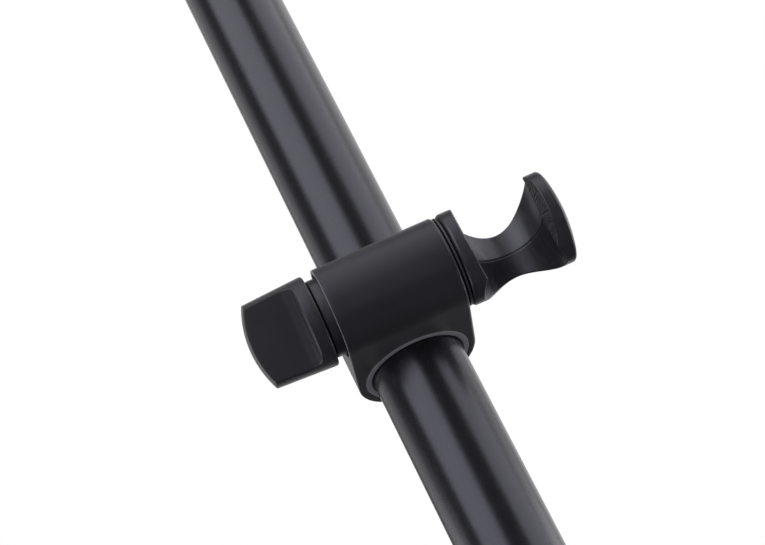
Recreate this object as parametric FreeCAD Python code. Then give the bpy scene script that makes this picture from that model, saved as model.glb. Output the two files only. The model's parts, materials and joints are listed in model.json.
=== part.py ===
"""Slide rail with a clamp slider and a swivel cradle.

A vertical tube stands off the wall on two brackets. A slider runs on the tube, turns round it and is
clamped by a knob on the left. A cup-shaped cradle with an open front swivels on its right.

Millimetres. +Z is up and +Y points into the wall. The origin is the centre of the lower wall plate's
back face, so the wall is the plane y = 0 and the whole object is in front of it, at negative y.
"""
import FreeCAD, Part
import math
import os

V = FreeCAD.Vector
X, Y, Z = V(1, 0, 0), V(0, 1, 0), V(0, 0, 1)

# Rail and its place in front of the wall
rail_d = 25.0               # outer diameter of the tube
rail_wall = 1.5             # wall of the tube
rail_overhang = 22.5        # tube beyond the axis of each bracket
bracket_spacing = 330.0     # between the two bracket axes
wall_to_rail = 58.0         # wall to the axis of the tube
slider_height = 120.0       # slider axis above the lower bracket axis, at rest

# Slider body
barrel_d = 25.0             # barrel across the front, and the height of the sleeve
sleeve_wall = 1.97          # round the glide rings; the barrel is as long as the sleeve is wide
clamp_reach = 8.5           # barrel axis to the surface of the tube
body_edge_r = 0.9           # rounding along the outline of the body
rail_bore_gap = 0.6         # tube to the bore between the glide rings
neck_bore_d = 22.8          # shallow bore behind the knob
neck_bore_depth = 4.6
core_bore_d = 15.0          # bore that holds the clamp
web_thickness = 4.0         # web between the clamp and the cradle hub
hub_bore_depth = 4.6

# Glide rings
glide_fit = 0.05            # tube to glide ring, radial
glide_wall = 2.0
glide_length = 6.0
glide_seat_gap = 0.08       # ring to its seat in the body, radial and axial
glide_lead = 0.5            # lead-in at the outer mouth
rib_height = 0.35
rib_width = 1.0

# Knob, spindle and bush
knob_d = 24.4               # across the ring at the base
knob_taper = 3.0            # degrees, to each side
knob_length = 19.2
knob_dome_r = 27.0
knob_corner_r = 0.8         # rim of the dome
knob_blade = 10.5           # between the two flats
knob_base = 3.7             # full round ring next to the body
knob_runout_r = 3.2         # hollow between a flat and the ring
knob_edge_r = 0.7
knob_turn = 25.5            # degrees, how far the flats lean at rest
knob_gap = 0.3              # knob to bush
bush_stand = 2.5            # bush outside the barrel
bush_d = 20.8
bush_shank = 2.4
bush_edge_r = 0.4
spindle_d = 6.0             # thread, drawn plain
journal_d = 8.0
collar_step = 0.7           # spindle collar inside the thrust washer's rim, radial
collar_thickness = 1.8
spindle_tip_gap = 0.4       # tip of the spindle to the head of the axle screw
shank_d = 5.0               # spindle inside the knob insert
insert_d = 8.0
insert_flange_d = 14.0
insert_flange = 2.4
insert_length = 14.0
thrust_thickness = 0.7
thrust_gap = 1.0            # thrust washer to the core bore, radial
turning_fit = 0.05          # radial, every part that turns in another
loose_fit = 0.1             # radial, washers on what they ride on
end_play = 0.05             # axial, between such parts

# Clamp
wedge_length = 10.0
wedge_gap = 0.3             # wedge to the core bore
wedge_angle = 12.0          # degrees
wedge_flat = 4.8            # flat above the spindle axis, at the middle
shoe_width = 10.8           # along the barrel
shoe_height = 11.8          # along the tube
shoe_gap = 0.1              # shoe to its window and to the wedge
pad_thickness = 1.2
pad_fit = 0.03              # pad to tube, clamped

# Cradle
cradle_d = 25.0
cradle_gap = 1.3            # barrel to cradle
cradle_wall_left = 3.65     # flange to the narrowest place of the cup
cup_throat_d = 21.2         # narrowest place, level with the swivel axis
cup_forward = 1.5           # throat centre in front of the swivel axis
cup_top_d = 22.9            # straight part above the throat
cup_lead = 8.0              # height over which the cup opens to it
cup_foot_d = 22.8           # opening at the lower face
cup_foot_back = 2.3         # centre of that opening, behind the throat centre
cradle_wall_right = 5.55    # cup throat to the tip of the dome
cradle_dome_r = 40.0
cradle_edge_r = 0.9         # both rims of the round bar
mouth_inner = 19.6          # mouth width where it meets the cup
mouth_depth = 6.0           # that place, in front of the swivel axis
mouth_lead = 11.0           # degrees, each side face opens outwards
hub_d = 18.7
hub_end_gap = 0.6           # hub to the web, taken up by the wave washer
seal_section_d = 1.5
seal_groove_w = 1.8
seal_squeeze = 0.04         # ring to the bore, drawn relaxed
washer_thickness = 0.5
washer_d = 24.0
axle_d = 6.0                # shoulder of the screw that holds the cradle, put in from the clamp's side
axle_thread_d = 5.0
axle_head_d = 9.0
axle_head = 1.5
axle_socket_depth = 1.8
axle_insert_d = 8.0
axle_insert_length = 5.5    # in the end of the hub
wave_thickness = 0.45
wave_d = 16.7

# Brackets
collar_fit = 0.05           # tube to bracket collar, radial
collar_wall = 4.1
collar_height = 25.0
collar_edge_r = 0.9
post_d = 18.0
post_bore_d = 14.1
post_floor = 4.0            # metal between the post bore and the collar
post_start = 3.0            # wall to the end of the post
plate_d = 42.0
plate_thickness = 4.0
plate_edge = 0.6            # chamfer
post_seat_gap = 1.0         # recess in the plate round the end of the post
spigot_fit = 0.05
spigot_length = 18.0
screw_spacing = 27.0
screw_hole_d = 5.2
screw_head_d = 10.0
rosette_d = 52.0
rosette_depth = 8.0
rosette_wall = 1.2
rosette_edge_r = 2.5
rosette_fit = 0.1
grub_d = 5.0
grub_from_wall = 13.0
grub_flush = 0.2
grub_socket_depth = 1.2
bolt_d = 5.0
bolt_head_d = 8.6
bolt_head = 3.0
bolt_clearance = 0.2
nut_thickness = 4.0
nut_width = 12.0
nut_height = 14.0
socket_across = 2.5         # hexagon sockets of all small screws
socket_depth = 1.8
cap_thickness = 2.6
cap_dome_r = 40.0
cap_spigot = 9.0
cap_gap = 0.1
cap_ring_d = 1.6

# Places worked out from the sizes above
rail_r = rail_d / 2
barrel_r = barrel_d / 2
arm = rail_r + clamp_reach
seat_r = rail_r + glide_fit + glide_wall + glide_seat_gap
body_half = seat_r + sleeve_wall
barrel_length = 2 * body_half
thrust_d = core_bore_d - 2 * thrust_gap
collar_d = thrust_d - 2 * collar_step
rail_bore_r = rail_r + rail_bore_gap
core_left = -body_half + neck_bore_depth
web_right = body_half - hub_bore_depth
web_left = web_right - web_thickness
bush_left = -body_half - bush_stand
knob_right = bush_left - knob_gap
knob_left = knob_right - knob_length
cradle_left = body_half + cradle_gap
cup_x = cradle_left + cradle_wall_left + cup_throat_d / 2
cradle_right = cup_x + cup_throat_d / 2 + cradle_wall_right
collar_r = rail_r + collar_fit + collar_wall
slider_at = V(0, -wall_to_rail - arm, slider_height)
window_half_x = shoe_width / 2 + shoe_gap
window_half_z = shoe_height / 2 + shoe_gap

pieces = {}


def rod(diameter, start, end, axis=X, centre=V()):
    """Cylinder along an axis, from one place on it to another."""
    return Part.makeCylinder(diameter / 2, end - start, centre + axis * start, axis)


def sleeve(outer_d, inner_d, start, end, axis=X, centre=V()):
    """Hollow cylinder."""
    return rod(outer_d, start, end, axis, centre).cut(rod(inner_d, start - 1, end + 1, axis, centre))


def block(x0, x1, y0, y1, z0, z1):
    """Box between two corners."""
    return Part.makeBox(x1 - x0, y1 - y0, z1 - z0, V(x0, y0, z0))


def prism(points, depth, direction):
    """Closed outline, pushed both ways along a direction."""
    face = Part.Face(Part.makePolygon([p - direction * depth for p in points + points[:1]]))
    return face.extrude(direction * 2 * depth)


def cone(d_start, d_end, start, end, axis=X, centre=V()):
    """Tapered rod along an axis."""
    return Part.makeCone(d_start / 2, d_end / 2, end - start, centre + axis * start, axis)


def socket(end, inward, depth):
    """Hexagon hole sunk into the end of a screw."""
    across = X if near(abs(inward.z), 1) else Z
    side = across.cross(inward)
    corner = socket_across / 2 / math.cos(math.radians(30))
    points = []
    for k in range(6):
        turn = math.radians(60 * k)
        points.append(end + across * (corner * math.cos(turn)) + side * (corner * math.sin(turn)))
    face = Part.Face(Part.makePolygon(points + points[:1]))
    return face.extrude(inward * depth)


def edges_where(shape, test):
    """Edges whose every point passes the test."""
    found = []
    for edge in shape.Edges:
        spots = [edge.valueAt(edge.FirstParameter + (edge.LastParameter - edge.FirstParameter) * k / 4)
                 for k in range(5)]
        if all(test(p) for p in spots):
            found.append(edge)
    return found


def rims(shape, low, high):
    """Edges that lie square across the X axis, between two places on it."""
    found = []
    for edge in shape.Edges:
        x = edge.valueAt(edge.FirstParameter).x
        if low < x < high and edges_where(Part.makeCompound([edge]), lambda p: near(p.x, x)):
            found.append(edge)
    return found


def near(a, b, slack=0.01):
    return abs(a - b) < slack


def keep(name, shape, at=V()):
    """Store one finished piece, moved to its place."""
    shape = shape.removeSplitter()
    if len(shape.Solids) == 1:
        shape = shape.Solids[0]
    shape.translate(at)
    pieces[name] = shape


# ---------------------------------------------------------------- rail
def make_rail_tube():
    low, high = -rail_overhang, bracket_spacing + rail_overhang
    axis = V(0, -wall_to_rail, 0)
    tube = sleeve(rail_d, rail_d - 2 * rail_wall, low, high, Z, axis)
    for z in (0, bracket_spacing):
        tube = tube.cut(rod(bolt_d + 2 * bolt_clearance, 0, rail_r + 1, Y, axis + Z * z))
    keep("rail_tube", tube)


def make_end_cap(side, z, up):
    """Domed cap with a spigot and a rubber ring; up is 1 at the top and -1 at the bottom."""
    inner_d = rail_d - 2 * rail_wall
    disc = rod(rail_d, 0, cap_thickness, Z)
    disc = disc.common(Part.makeSphere(cap_dome_r, V(0, 0, cap_thickness - cap_dome_r)))
    cap = disc.fuse(rod(inner_d - 2 * cap_gap, -cap_spigot, 0, Z))
    groove_mid = -cap_spigot / 2
    groove_floor = inner_d - 2 * (cap_ring_d + cap_gap)
    groove_half = cap_ring_d / 2 + cap_gap
    cap = cap.cut(sleeve(rail_d, groove_floor, groove_mid - groove_half, groove_mid + groove_half, Z))
    ring_mid_r = (inner_d - cap_ring_d - cap_gap) / 2
    ring = Part.makeTorus(ring_mid_r, cap_ring_d / 2, V(0, 0, groove_mid), Z)
    for name, shape in ((side + "_end_cap", cap), (side + "_cap_ring", ring)):
        if up < 0:
            shape = shape.mirror(V(), Z)
        keep(name, shape, V(0, -wall_to_rail, z))


# ---------------------------------------------------------------- wall brackets
def make_bracket(side, z):
    at = V(0, 0, z)
    rail_axis = V(0, -wall_to_rail, 0)
    half = collar_height / 2
    collar = rod(2 * collar_r, -half, half, Z, rail_axis)
    collar = collar.makeFillet(collar_edge_r, edges_where(collar, lambda p: near(abs(p.z), half)))
    post = rod(post_d, -wall_to_rail + rail_r, -post_start, Y)
    bracket = collar.fuse(post).cut(rod(rail_d + 2 * collar_fit, -half - 1, half + 1, Z, rail_axis))
    floor_y = -wall_to_rail + rail_r + collar_fit + post_floor
    bracket = bracket.cut(rod(post_bore_d, floor_y, 0, Y))
    bracket = bracket.cut(rod(bolt_d + 2 * bolt_clearance, -wall_to_rail, floor_y + 1, Y))
    grub_at = V(0, -grub_from_wall, 0)
    bracket = bracket.cut(rod(grub_d, -post_d, 0, Z, grub_at))
    keep(side + "_bracket", bracket, at)

    spigot_d = post_bore_d - 2 * spigot_fit
    plate = rod(plate_d, -plate_thickness, 0, Y)
    plate = plate.makeChamfer(plate_edge, edges_where(plate, lambda p: near(p.y, -plate_thickness)))
    seat_d = post_d + 2 * post_seat_gap
    plate = plate.cut(sleeve(seat_d, spigot_d, -plate_thickness - 1, -post_start + end_play, Y))
    plate = plate.fuse(rod(spigot_d, -plate_thickness - spigot_length, 0, Y))
    sink_depth = (screw_head_d - screw_hole_d) / 2
    for x in (-screw_spacing / 2, screw_spacing / 2):
        hole = rod(screw_hole_d, -plate_thickness - 1, 1, Y, V(x, 0, 0))
        sink_end = -plate_thickness + sink_depth
        sink = cone(screw_head_d, screw_hole_d, -plate_thickness, sink_end, Y, V(x, 0, 0))
        plate = plate.cut(hole).cut(sink)
    keep(side + "_wall_plate", plate, at)

    cup = rod(rosette_d, -rosette_depth, 0, Y)
    cup = cup.makeFillet(rosette_edge_r, edges_where(cup, lambda p: near(p.y, -rosette_depth)))
    hollow = rod(rosette_d - 2 * rosette_wall, -rosette_depth + rosette_wall, 1, Y)
    inner_edge = edges_where(hollow, lambda p: near(p.y, -rosette_depth + rosette_wall))
    hollow = hollow.makeFillet(rosette_edge_r - rosette_wall, inner_edge)
    cup = cup.cut(hollow).cut(rod(post_d + 2 * rosette_fit, -rosette_depth - 1, 1, Y))
    keep(side + "_rosette", cup, at)

    spigot_r = spigot_d / 2
    grub_end = -post_d / 2 + grub_flush
    grub = rod(grub_d, grub_end, -spigot_r, Z)
    grub = grub.cut(socket(Z * grub_end, Z, grub_socket_depth))
    keep(side + "_grub_screw", grub, at + grub_at)

    nut_face = -wall_to_rail + rail_r - rail_wall
    bolt = rod(bolt_d, nut_face - nut_thickness, floor_y, Y)
    bolt = bolt.fuse(rod(bolt_head_d, floor_y, floor_y + bolt_head, Y))
    bolt = bolt.cut(socket(Y * (floor_y + bolt_head), Y * -1, socket_depth))
    keep(side + "_rail_bolt", bolt, at)

    inside = rod(rail_d - 2 * rail_wall - 2 * cap_gap, -nut_height / 2, nut_height / 2, Z, rail_axis)
    nut = inside.common(block(-nut_width / 2, nut_width / 2, nut_face - nut_thickness, 0,
                              -nut_height / 2, nut_height / 2))
    keep(side + "_nut_plate", nut.cut(rod(bolt_d, -wall_to_rail, 0, Y)), at)


# ---------------------------------------------------------------- slider
def make_slider_body():
    rail_axis = V(0, arm, 0)
    outline = rod(barrel_d, -body_half, body_half)
    outline = outline.fuse(block(-body_half, body_half, 0, arm, -barrel_r, barrel_r))
    outline = outline.fuse(rod(barrel_length, -barrel_r, barrel_r, Z, rail_axis)).removeSplitter()

    def on_rim(p):
        end_face = near(abs(p.x), body_half) and p.y < arm + 0.01
        level_face = near(abs(p.z), barrel_r) and p.y > -0.01
        round_end = near(math.hypot(p.y, p.z), barrel_r) and near(abs(p.x), body_half)
        straight = near(abs(p.z), barrel_r) and near(abs(p.x), body_half)
        round_back = level_face and near(math.hypot(p.x, p.y - arm), body_half) and p.y > arm - 0.01
        return (end_face and (round_end or straight)) or round_back

    body = outline.makeFillet(body_edge_r, edges_where(outline, on_rim))
    body = body.cut(rod(2 * rail_bore_r, -barrel_r - 1, barrel_r + 1, Z, rail_axis))
    seat_depth = glide_length + glide_seat_gap
    rib_mid = barrel_r - glide_length / 2
    rib_half = rib_width / 2 + glide_seat_gap
    for up in (-1, 1):
        seat = rod(2 * seat_r, barrel_r - seat_depth, barrel_r + 1, Z * up, rail_axis)
        groove = rod(2 * (seat_r + rib_height), rib_mid - rib_half, rib_mid + rib_half, Z * up, rail_axis)
        body = body.cut(seat).cut(groove)
    body = body.cut(rod(neck_bore_d, -body_half - 1, core_left))
    body = body.cut(rod(core_bore_d, core_left - 1, web_left))
    body = body.cut(rod(axle_d + 2 * turning_fit, web_left - 1, web_right + 1))
    body = body.cut(rod(hub_d + 2 * turning_fit, web_right, body_half + 1))
    body = body.cut(block(-window_half_x, window_half_x, 0, arm, -window_half_z, window_half_z))
    keep("slider_body", body, slider_at)


def make_glide_rings():
    inner_d = rail_d + 2 * glide_fit
    outer_d = inner_d + 2 * glide_wall
    low = barrel_r - glide_length
    ring = sleeve(outer_d, inner_d, low, barrel_r, Z)
    rib_mid = barrel_r - glide_length / 2
    rib = sleeve(outer_d + 2 * rib_height, inner_d + glide_wall, rib_mid - rib_width / 2,
                 rib_mid + rib_width / 2, Z)
    ring = ring.fuse(rib)
    ring = ring.cut(cone(inner_d, inner_d + 2 * glide_lead, barrel_r - glide_lead, barrel_r, Z))
    at = slider_at + Y * arm
    keep("upper_glide_ring", ring, at)
    keep("lower_glide_ring", ring.mirror(V(), Z), at)


def make_bush_and_washer():
    bush = rod(bush_d, bush_left, core_left)
    bush = bush.makeFillet(bush_edge_r, rims(bush, bush_left - 1, core_left - 1))
    bush = bush.fuse(rod(core_bore_d, core_left, core_left + bush_shank))
    bush = bush.cut(rod(journal_d + 2 * turning_fit, bush_left - 1, core_left + bush_shank + 1))
    keep("spindle_bush", bush, slider_at)
    start = core_left + bush_shank
    washer = sleeve(thrust_d, journal_d + 2 * loose_fit, start, start + thrust_thickness)
    keep("thrust_washer", washer, slider_at)


def make_knob():
    """Tapered knob with a domed end and two flats that run out in a hollow before the base ring."""
    far_d = knob_d - 2 * knob_length * math.tan(math.radians(knob_taper))
    knob = cone(far_d, knob_d, knob_left, knob_right)
    knob = knob.common(Part.makeSphere(knob_dome_r, V(knob_left + knob_dome_r, 0, 0)))
    knob = knob.makeFillet(knob_edge_r, rims(knob, knob_right - 1, knob_right + 1))
    knob = knob.makeFillet(knob_corner_r, rims(knob, knob_left, knob_left + knob_length / 2))
    wall_x = knob_right - knob_base
    half = knob_blade / 2
    reach = knob_d
    arc_mid = math.radians(45)
    turn_x, turn_y = wall_x - knob_runout_r, half + knob_runout_r
    a = V(knob_left - 1, half, 0)
    b = V(turn_x, half, 0)
    mid = V(turn_x + knob_runout_r * math.sin(arc_mid), turn_y - knob_runout_r * math.cos(arc_mid), 0)
    c = V(wall_x, turn_y, 0)
    d = V(wall_x, reach, 0)
    e = V(knob_left - 1, reach, 0)
    edges = [Part.makeLine(a, b), Part.Arc(b, mid, c).toShape(), Part.makeLine(c, d),
             Part.makeLine(d, e), Part.makeLine(e, a)]
    flat = Part.Face(Part.Wire(edges))
    flat.translate(Z * -reach)
    flat = flat.extrude(Z * 2 * reach)
    knob = knob.cut(flat).cut(flat.mirror(V(), Y))
    knob = knob.cut(rod(insert_flange_d, knob_right - insert_flange, knob_right + 1))
    knob = knob.cut(rod(insert_d, knob_right - insert_length, knob_right))
    knob.rotate(V(), X, knob_turn)
    keep("knob", knob, slider_at)

    insert = rod(insert_flange_d, knob_right - insert_flange, knob_right)
    insert = insert.fuse(rod(insert_d, knob_right - insert_length, knob_right))
    insert = insert.cut(rod(shank_d, knob_right - insert_length - 1, knob_right + 1))
    keep("knob_insert", insert, slider_at)


def make_spindle():
    collar_left = core_left + bush_shank + thrust_thickness + end_play
    collar_right = collar_left + collar_thickness
    spindle = rod(shank_d, knob_right - insert_length, knob_right)
    spindle = spindle.fuse(rod(journal_d, knob_right, collar_left))
    spindle = spindle.fuse(rod(collar_d, collar_left, collar_right))
    spindle_end = web_left - end_play - axle_head - spindle_tip_gap
    spindle = spindle.fuse(rod(spindle_d, collar_right, spindle_end))
    keep("clamp_spindle", spindle, slider_at)


def make_clamp():
    """Wedge nut, and the shoe and pad that it pushes against the tube."""
    slope = math.tan(math.radians(wedge_angle))
    half = wedge_length / 2
    reach = barrel_length
    wedge = rod(core_bore_d - 2 * wedge_gap, -half, half)
    wedge = wedge.cut(rod(spindle_d + 2 * turning_fit, -half - 1, half + 1))

    def ramp(lift):
        low, high = wedge_flat + lift - slope * reach, wedge_flat + lift + slope * reach
        return prism([V(-reach, low, 0), V(reach, high, 0), V(reach, reach, 0), V(-reach, reach, 0)], reach, Z)

    keep("wedge_nut", wedge.cut(ramp(0)), slider_at)

    rail_axis = V(0, arm, 0)
    pad_front = 2 * (rail_r + pad_fit)
    pad_back = pad_front + 2 * pad_thickness
    cell = block(-shoe_width / 2, shoe_width / 2, 0, arm, -shoe_height / 2, shoe_height / 2)
    shoe = cell.common(ramp(shoe_gap)).cut(rod(pad_back, -barrel_d, barrel_d, Z, rail_axis))
    keep("brake_shoe", shoe, slider_at)
    pad = cell.common(sleeve(pad_back, pad_front, -barrel_d, barrel_d, Z, rail_axis))
    keep("brake_pad", pad, slider_at)


# ---------------------------------------------------------------- cradle
def make_cradle():
    """Cup on a hub: a round bar, a cup through it that opens both ways, and a mouth cut in front."""
    bar = rod(cradle_d, cradle_left, cradle_right)
    bar = bar.common(Part.makeSphere(cradle_dome_r, V(cradle_right - cradle_dome_r, 0, 0)))
    bar = bar.makeFillet(cradle_edge_r, rims(bar, cradle_left - 1, cradle_right))
    reach = cradle_d
    throat = V(cup_x, -cup_forward, 0)
    bar = bar.cut(cone(cup_throat_d, cup_top_d, 0, cup_lead, Z, throat))
    bar = bar.cut(rod(cup_top_d, cup_lead, reach, Z, throat))
    foot_steps = reach / (cradle_d / 2)
    foot_r = (cup_throat_d + (cup_foot_d - cup_throat_d) * foot_steps) / 2
    foot_at = throat + V(0, cup_foot_back * foot_steps, -reach)
    rings = [Part.Wire(Part.makeCircle(cup_throat_d / 2, throat)), Part.Wire(Part.makeCircle(foot_r, foot_at))]
    bar = bar.cut(Part.makeLoft(rings, True, True))
    lead = math.tan(math.radians(mouth_lead))
    inner_half = mouth_inner / 2 - mouth_depth * lead
    outer_half = mouth_inner / 2 + (reach - mouth_depth) * lead
    mouth = [V(cup_x - inner_half, 0, 0), V(cup_x + inner_half, 0, 0),
             V(cup_x + outer_half, -reach, 0), V(cup_x - outer_half, -reach, 0)]
    bar = bar.cut(prism(mouth, reach, Z))
    hub_left = web_right + hub_end_gap
    cradle = bar.fuse(rod(hub_d, hub_left, cradle_left + cradle_wall_left / 2))
    seal_x = (hub_left + body_half) / 2
    groove_floor = hub_d - 2 * seal_section_d
    cradle = cradle.cut(sleeve(cradle_d, groove_floor, seal_x - seal_groove_w / 2, seal_x + seal_groove_w / 2))
    insert_right = hub_left + axle_insert_length
    cradle = cradle.cut(rod(axle_insert_d, hub_left - 1, insert_right))
    keep("cradle", cradle, slider_at)

    seal_mid = hub_d / 2 + turning_fit - seal_squeeze - seal_section_d / 2
    keep("hub_seal", Part.makeTorus(seal_mid, seal_section_d / 2, V(seal_x, 0, 0), X), slider_at)
    washer_x = body_half + (cradle_gap - washer_thickness) / 2
    washer = sleeve(washer_d, hub_d + 2 * loose_fit, washer_x, washer_x + washer_thickness)
    keep("swivel_washer", washer, slider_at)

    head_right = web_left - end_play
    screw = rod(axle_head_d, head_right - axle_head, head_right)
    screw = screw.fuse(rod(axle_d, head_right, hub_left))
    screw = screw.fuse(rod(axle_thread_d, hub_left, insert_right))
    screw = screw.cut(socket(X * (head_right - axle_head), X, axle_socket_depth))
    keep("axle_screw", screw, slider_at)
    keep("axle_insert", sleeve(axle_insert_d, axle_thread_d, hub_left, insert_right), slider_at)
    play = (hub_end_gap - wave_thickness) / 2
    wave_left = web_right + play
    wave = sleeve(wave_d, axle_d + 2 * loose_fit, wave_left, wave_left + wave_thickness)
    keep("wave_washer", wave, slider_at)


make_rail_tube()
make_end_cap("lower", -rail_overhang, -1)
make_end_cap("upper", bracket_spacing + rail_overhang, 1)
make_bracket("lower", 0)
make_bracket("upper", bracket_spacing)
make_slider_body()
make_glide_rings()
make_bush_and_washer()
make_knob()
make_spindle()
make_clamp()
make_cradle()

os.makedirs("parts", exist_ok=True)
for name, shape in pieces.items():
    assert shape.isValid() and shape.Volume > 0 and len(shape.Solids) == 1, name
    shape.exportStep("parts/" + name + ".step")
    print(f"{name:18s} {shape.Volume:10.1f} mm3")
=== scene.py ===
"""Looks of a slide rail with a clamp slider and a swivel cradle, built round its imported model."""
import json
import math

import bmesh
import bpy
import numpy as np
from bpy.props import FloatProperty, FloatVectorProperty, IntProperty, PointerProperty
from mathutils import Matrix, Vector


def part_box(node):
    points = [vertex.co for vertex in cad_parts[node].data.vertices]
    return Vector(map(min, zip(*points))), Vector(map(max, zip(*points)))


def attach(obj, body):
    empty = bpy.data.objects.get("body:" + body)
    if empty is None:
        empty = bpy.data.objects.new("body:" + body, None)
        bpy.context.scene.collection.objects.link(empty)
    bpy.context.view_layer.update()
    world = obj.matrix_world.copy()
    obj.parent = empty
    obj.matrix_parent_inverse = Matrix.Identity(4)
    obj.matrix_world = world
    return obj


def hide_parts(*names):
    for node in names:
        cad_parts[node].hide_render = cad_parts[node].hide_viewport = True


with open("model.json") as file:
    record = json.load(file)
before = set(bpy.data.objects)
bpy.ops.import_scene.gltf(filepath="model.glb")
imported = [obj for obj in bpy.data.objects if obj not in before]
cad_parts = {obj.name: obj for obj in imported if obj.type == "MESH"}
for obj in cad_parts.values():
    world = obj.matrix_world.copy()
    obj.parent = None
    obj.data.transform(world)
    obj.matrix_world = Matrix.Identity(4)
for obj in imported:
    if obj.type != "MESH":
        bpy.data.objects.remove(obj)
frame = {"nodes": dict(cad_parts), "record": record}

bl_info = {
    "name": "Slide rail",
    "version": (1, 0, 0),
    "blender": (4, 5, 0),
    "location": "View3D > Sidebar > Slide rail",
    "description": "Makes the visible surfaces and finishes of a slide rail with a clamp slider",
    "category": "Object",
}

MM = 0.001
WELD = 2e-7                 # metres, points nearer than this are one point

# Millimetres from here on, unless a comment says otherwise.
CRISP = 0.1                 # rounding of corners that stay sharp to the eye
SOFT = 0.2                  # rounding of hidden corners
CAP_NOSE = 0.3              # rounding of the end of a cap's plug
PLUG_GAP = 0.1              # cap's plug to the tube's bore, radial
GROOVE_SLACK = 0.1          # cap ring to the walls and the floor of its groove
FLOOR_EDGE = 0.3            # rounding in the corner of the bore behind the knob
OVERLAP = 1.0               # how far a bore's profile starts outside it, so that its mouth is rounded
SHANK_GAP = 0.05            # bush to the core bore, radial
JOURNAL_R = 4.05            # bore of the bush that the spindle turns in
NECK_RIM = 0.4              # rounding of the bush's outer rim
NECK_SEAM = 2.0             # where the bush's profile starts, out from the floor of its bore
KNOB_RECESS = (7.0, 2.4)    # radius and depth of the recess in the knob's back
KNOB_HOLE = (4.0, 14.0)     # radius and depth of the hole for the spindle
FIRST_ROLL = 3.0            # first guess of how far the rounding lies behind the knob's tip
LEDGE_SHARE = 0.45          # the step's rounding is at most this share of the ledge
LINE_WIDTH = 0.16           # half the width of the cradle's parting line
SEAL_SLACK = 0.15           # hub seal to the sides of its groove
HUB_CORNER = 0.15           # rounding between the hub and the flange

# Steps along curves.
CAP_STEPS = 23
ACROSS, STRAIGHT, FRONT, BACK = 24, 18, 72, 96      # slider body: width, flat top, barrel, round back
SECTION = (16, 6, 40)                               # knob, a quarter section: flat, edge, round side
CUP = (26, 6, 56)                                   # cradle, a half outline: side face, rounding, cup
ROLLS = 60                                          # rounds that settle the ball in the cradle's edge


def corners(node):
    """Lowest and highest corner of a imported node, in millimetres."""
    low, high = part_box(node)
    return np.array(low) / MM, np.array(high) / MM


RAIL_LOW, RAIL_HIGH = corners("rail_tube")
BODY_LOW, BODY_HIGH = corners("slider_body")
KNOB_LOW, KNOB_HIGH = corners("knob")
BUSH_LOW, BUSH_HIGH = corners("spindle_bush")
CRADLE_LOW, CRADLE_HIGH = corners("cradle")
RING_LOW, RING_HIGH = corners("upper_glide_ring")
SEAL_LOW, SEAL_HIGH = corners("hub_seal")
RAIL_R = (RAIL_HIGH[0] - RAIL_LOW[0]) / 2
RAIL_AT = (RAIL_LOW + RAIL_HIGH) / 2
BARREL_R = (BODY_HIGH[2] - BODY_LOW[2]) / 2
BARREL_AT = np.array([0, BODY_LOW[1] + BARREL_R, (BODY_LOW[2] + BODY_HIGH[2]) / 2])
BODY_HALF = BODY_HIGH[0]
ARM = RAIL_AT[1] - BARREL_AT[1]
RING_LENGTH = RING_HIGH[2] - RING_LOW[2]


# ---------------------------------------------------------------- sizes and colours a user may change
def millimetres(name, description, default):
    return FloatProperty(name=name, description=description, default=default * MM, min=0.0,
                         unit="LENGTH", subtype="DISTANCE", precision=5)


def degrees(name, description, default):
    return FloatProperty(name=name, description=description, default=math.radians(default),
                         unit="ROTATION", subtype="ANGLE")


def count(name, description, default):
    return IntProperty(name=name, description=description, default=default, min=3, max=512)


def linear(code):
    """An sRGB hex colour as linear RGBA."""
    part = np.array([int(code[k:k + 2], 16) / 255 for k in (1, 3, 5)])
    part = np.where(part <= 0.04045, part / 12.92, ((part + 0.055) / 1.055) ** 2.4)
    return (*part.tolist(), 1.0)


def colour(name, description, code):
    return FloatVectorProperty(name=name, description=description, default=linear(code), size=4,
                               min=0.0, max=1.0, subtype="COLOR")


class TubeSizes(bpy.types.PropertyGroup):
    wall: millimetres("Wall", "Wall of the tube", 1.5)
    edge: millimetres("Edge", "Rounding of the tube's ends", 0.25)
    cap_dome: millimetres("Cap dome", "Radius of the domed end caps", 40.0)
    cap_edge: millimetres("Cap edge", "Rounding of the rim of the end caps", 0.5)
    ring_fit: millimetres("Ring fit", "Tube to glide ring, radial", 0.05)
    ring_lead: millimetres("Ring lead-in", "Lead-in at the mouth of the glide rings", 0.5)
    ring_edge: millimetres("Ring edge", "Rounding of the glide rings", 0.15)
    turns: count("Turns", "Steps round each turned piece", 192)


class BodySizes(bpy.types.PropertyGroup):
    right_edge: millimetres("Right edge", "Rounding of the outline on the cradle's side", 0.9)
    left_edge: millimetres("Left edge", "Rounding of the outline on the knob's side", 0.22)
    mouth_edge: millimetres("Mouth edge", "Rounding where a bore meets a face", 0.18)
    neck_bore: millimetres("Neck bore", "Diameter of the shallow bore behind the knob", 22.8)
    neck_depth: millimetres("Neck depth", "Depth of that bore", 4.6)
    core_bore: millimetres("Core bore", "Diameter of the bore that holds the clamp", 15.0)
    core_end: millimetres("Core end", "End of that bore, right of the middle", 8.0)
    hub_bore: millimetres("Hub bore", "Diameter of the bore for the cradle's hub", 18.8)
    hub_depth: millimetres("Hub depth", "Depth of that bore", 4.6)
    axle_hole: millimetres("Axle hole", "Diameter of the hole between the two bores", 6.1)
    sleeve: millimetres("Sleeve wall", "Wall of the sleeve round the glide rings", 1.97)
    seat_gap: millimetres("Seat gap", "Glide ring to its seat, radial and axial", 0.08)
    rail_gap: millimetres("Rail gap", "Tube to the bore between the rings, radial", 0.6)


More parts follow.
